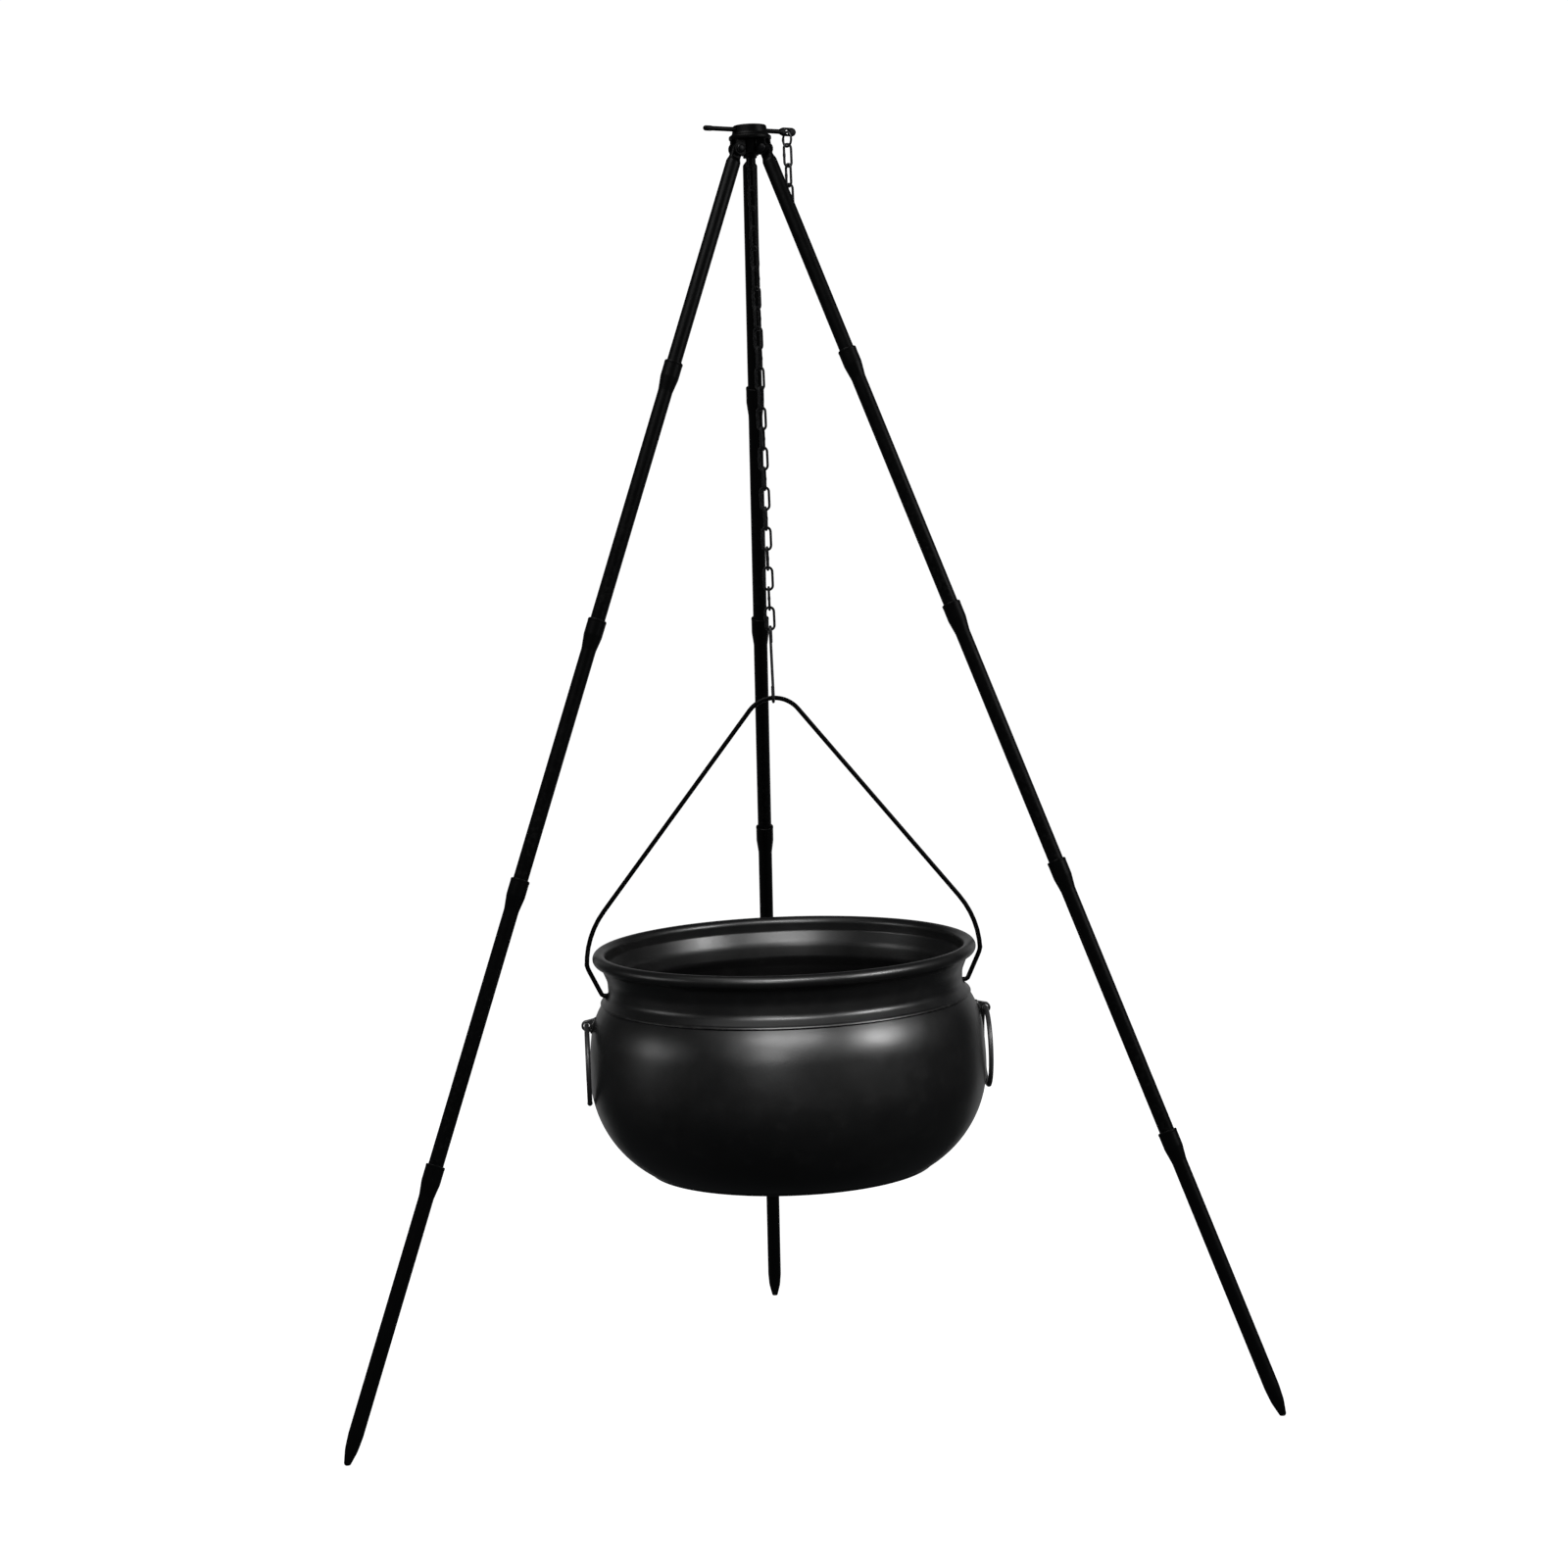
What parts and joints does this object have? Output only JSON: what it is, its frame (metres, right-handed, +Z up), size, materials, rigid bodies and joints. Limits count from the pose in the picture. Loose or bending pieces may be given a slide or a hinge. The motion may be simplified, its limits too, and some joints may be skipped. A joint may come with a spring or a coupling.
{
  "type": "campfire tripod with hanging cauldron",
  "caption": "Free-standing three-legged camp tripod of plugged tubes with a chain, hook, wire bail and a black cauldron hung over the fire.",
  "frame": {"origin": "on the ground, at the middle of the feet's bounding box", "axes": "+Z up, +Y towards the rear leg, +X to the right seen from the front"},
  "size_m": [0.7506, 0.651, 1.0709],
  "materials": {
    "leg_paint": "satin black paint on drawn steel tube",
    "hub_paint": "satin black paint on steel",
    "wire_paint": "black coated round steel wire",
    "pot_enamel": "smooth black enamel on steel, semi-gloss",
    "chain_steel": "dark zinc plated wire links",
    "rivet_steel": "darkened steel rivets",
    "ring_steel": "black coated steel rings"
  },
  "bodies": {
    "hub": {"hub": "hub_paint", "hinge_rivet_left": "rivet_steel", "hinge_rivet_right": "rivet_steel", "hinge_rivet_rear": "rivet_steel"},
    "leg_left_1_top": {"leg_left_1_top": "leg_paint"},
    "leg_left_2": {"leg_left_2": "leg_paint"},
    "leg_left_3": {"leg_left_3": "leg_paint"},
    "leg_left_4": {"leg_left_4": "leg_paint"},
    "leg_left_5_foot": {"leg_left_5_foot": "leg_paint"},
    "leg_right_1_top": {"leg_right_1_top": "leg_paint"},
    "leg_right_2": {"leg_right_2": "leg_paint"},
    "leg_right_3": {"leg_right_3": "leg_paint"},
    "leg_right_4": {"leg_right_4": "leg_paint"},
    "leg_right_5_foot": {"leg_right_5_foot": "leg_paint"},
    "leg_rear_1_top": {"leg_rear_1_top": "leg_paint"},
    "leg_rear_2": {"leg_rear_2": "leg_paint"},
    "leg_rear_3": {"leg_rear_3": "leg_paint"},
    "leg_rear_4": {"leg_rear_4": "leg_paint"},
    "leg_rear_5_foot": {"leg_rear_5_foot": "leg_paint"},
    "locking_pin": {"locking_pin": "wire_paint"},
    "keeper_ring": {"keeper_ring": "chain_steel"},
    "keeper_chain": {"keeper_link_1": "chain_steel", "keeper_link_2": "chain_steel", "keeper_link_3": "chain_steel"},
    "chain_top": {"chain_link_01": "chain_steel", "chain_link_02": "chain_steel", "chain_link_03": "chain_steel", "chain_link_04": "chain_steel", "chain_link_05": "chain_steel", "chain_link_06": "chain_steel", "chain_link_07": "chain_steel"},
    "chain_second": {"chain_link_08": "chain_steel", "chain_link_09": "chain_steel", "chain_link_10": "chain_steel", "chain_link_11": "chain_steel", "chain_link_12": "chain_steel", "chain_link_13": "chain_steel"},
    "chain_third": {"chain_link_14": "chain_steel", "chain_link_15": "chain_steel", "chain_link_16": "chain_steel", "chain_link_17": "chain_steel", "chain_link_18": "chain_steel", "chain_link_19": "chain_steel"},
    "chain_bottom": {"chain_link_20": "chain_steel", "chain_link_21": "chain_steel", "chain_link_22": "chain_steel", "chain_link_23": "chain_steel", "chain_link_24": "chain_steel", "chain_link_25": "chain_steel"},
    "s_hook": {"s_hook": "chain_steel"},
    "bail": {"bail": "wire_paint"},
    "pot": {"pot": "pot_enamel", "ring_lug_right": "pot_enamel", "ring_lug_left": "pot_enamel"},
    "drop_ring_right": {"drop_ring_right": "ring_steel"},
    "drop_ring_left": {"drop_ring_left": "ring_steel"}
  },
  "joints": [
    {"name": "leg_left_fold", "type": "hinge", "parent": "hub", "child": "leg_left_1_top", "pos_m": [-0.01152, -0.11416, 1.05], "axis": [-0.5, 0.866, 0], "range_deg": [-7, 0]},
    {"name": "leg_left_socket_1", "type": "slide", "parent": "leg_left_1_top", "child": "leg_left_2", "axis": [-0.32, -0.1848, -0.9292], "range_m": [0, 0.019]},
    {"name": "leg_left_socket_2", "type": "slide", "parent": "leg_left_2", "child": "leg_left_3", "axis": [-0.32, -0.1848, -0.9292], "range_m": [0, 0.019]},
    {"name": "leg_left_socket_3", "type": "slide", "parent": "leg_left_3", "child": "leg_left_4", "axis": [-0.32, -0.1848, -0.9292], "range_m": [0, 0.019]},
    {"name": "leg_left_socket_4", "type": "slide", "parent": "leg_left_4", "child": "leg_left_5_foot", "axis": [-0.32, -0.1848, -0.9292], "range_m": [0, 0.019]},
    {"name": "leg_right_fold", "type": "hinge", "parent": "hub", "child": "leg_right_1_top", "pos_m": [0.01152, -0.11416, 1.05], "axis": [-0.5, -0.866, 0], "range_deg": [-7, 0]},
    {"name": "leg_right_socket_1", "type": "slide", "parent": "leg_right_1_top", "child": "leg_right_2", "axis": [0.32, -0.1848, -0.9292], "range_m": [0, 0.019]},
    {"name": "leg_right_socket_2", "type": "slide", "parent": "leg_right_2", "child": "leg_right_3", "axis": [0.32, -0.1848, -0.9292], "range_m": [0, 0.019]},
    {"name": "leg_right_socket_3", "type": "slide", "parent": "leg_right_3", "child": "leg_right_4", "axis": [0.32, -0.1848, -0.9292], "range_m": [0, 0.019]},
    {"name": "leg_right_socket_4", "type": "slide", "parent": "leg_right_4", "child": "leg_right_5_foot", "axis": [0.32, -0.1848, -0.9292], "range_m": [0, 0.019]},
    {"name": "leg_rear_fold", "type": "hinge", "parent": "hub", "child": "leg_rear_1_top", "pos_m": [0, -0.09421, 1.05], "axis": [1, 0, 0], "range_deg": [-7, 0]},
    {"name": "leg_rear_socket_1", "type": "slide", "parent": "leg_rear_1_top", "child": "leg_rear_2", "axis": [0, 0.3695, -0.9292], "range_m": [0, 0.019]},
    {"name": "leg_rear_socket_2", "type": "slide", "parent": "leg_rear_2", "child": "leg_rear_3", "axis": [0, 0.3695, -0.9292], "range_m": [0, 0.019]},
    {"name": "leg_rear_socket_3", "type": "slide", "parent": "leg_rear_3", "child": "leg_rear_4", "axis": [0, 0.3695, -0.9292], "range_m": [0, 0.019]},
    {"name": "leg_rear_socket_4", "type": "slide", "parent": "leg_rear_4", "child": "leg_rear_5_foot", "axis": [0, 0.3695, -0.9292], "range_m": [0, 0.019]},
    {"name": "locking_pin_slide", "type": "slide", "parent": "hub", "child": "locking_pin", "axis": [0.866, 0.5, 0], "range_m": [0, 0.05]},
    {"name": "keeper_ring_swing", "type": "hinge", "parent": "locking_pin", "child": "keeper_ring", "pos_m": [0.03248, -0.08876, 1.0665], "axis": [-0.5, 0.866, 0], "range_deg": [-40, 22]},
    {"name": "keeper_chain_swing", "type": "hinge", "parent": "keeper_ring", "child": "keeper_chain", "pos_m": [0.03248, -0.08876, 1.0553], "axis": [0.866, 0.5, 0], "range_deg": [-20, 20]},
    {"name": "chain_swing_at_pin", "type": "hinge", "parent": "hub", "child": "chain_top", "pos_m": [0, -0.10751, 1.0665], "axis": [0.866, 0.5, 0], "range_deg": [-4, 4]},
    {"name": "chain_swing_2", "type": "hinge", "parent": "chain_top", "child": "chain_second", "pos_m": [0, -0.10751, 0.95045], "axis": [0, -1, 0], "range_deg": [-6, 6]},
    {"name": "chain_swing_3", "type": "hinge", "parent": "chain_second", "child": "chain_third", "pos_m": [0, -0.10751, 0.84905], "axis": [-1, 0, 0], "range_deg": [-8, 8]},
    {"name": "chain_swing_4", "type": "hinge", "parent": "chain_third", "child": "chain_bottom", "pos_m": [0, -0.10751, 0.74765], "axis": [0, 1, 0], "range_deg": [-8, 8]},
    {"name": "s_hook_swing", "type": "hinge", "parent": "chain_bottom", "child": "s_hook", "pos_m": [0, -0.10751, 0.64625], "axis": [1, 0, 0], "range_deg": [-5.2, 5.2]},
    {"name": "bail_swing", "type": "hinge", "parent": "s_hook", "child": "bail", "pos_m": [0, -0.10751, 0.58535], "axis": [0, -1, 0], "range_deg": [-4.5, 4.5]},
    {"name": "pot_tip", "type": "hinge", "parent": "bail", "child": "pot", "pos_m": [0, -0.10751, 0.341], "axis": [1, 0, 0], "range_deg": [-45, 45]},
    {"name": "drop_ring_right_swing", "type": "hinge", "parent": "pot", "child": "drop_ring_right", "pos_m": [0.17, -0.10585, 0.31605], "axis": [0, -1, 0], "range_deg": [0, 85]},
    {"name": "drop_ring_left_swing", "type": "hinge", "parent": "pot", "child": "drop_ring_left", "pos_m": [-0.17, -0.10585, 0.31605], "axis": [0, 1, 0], "range_deg": [0, 85]}
  ]
}
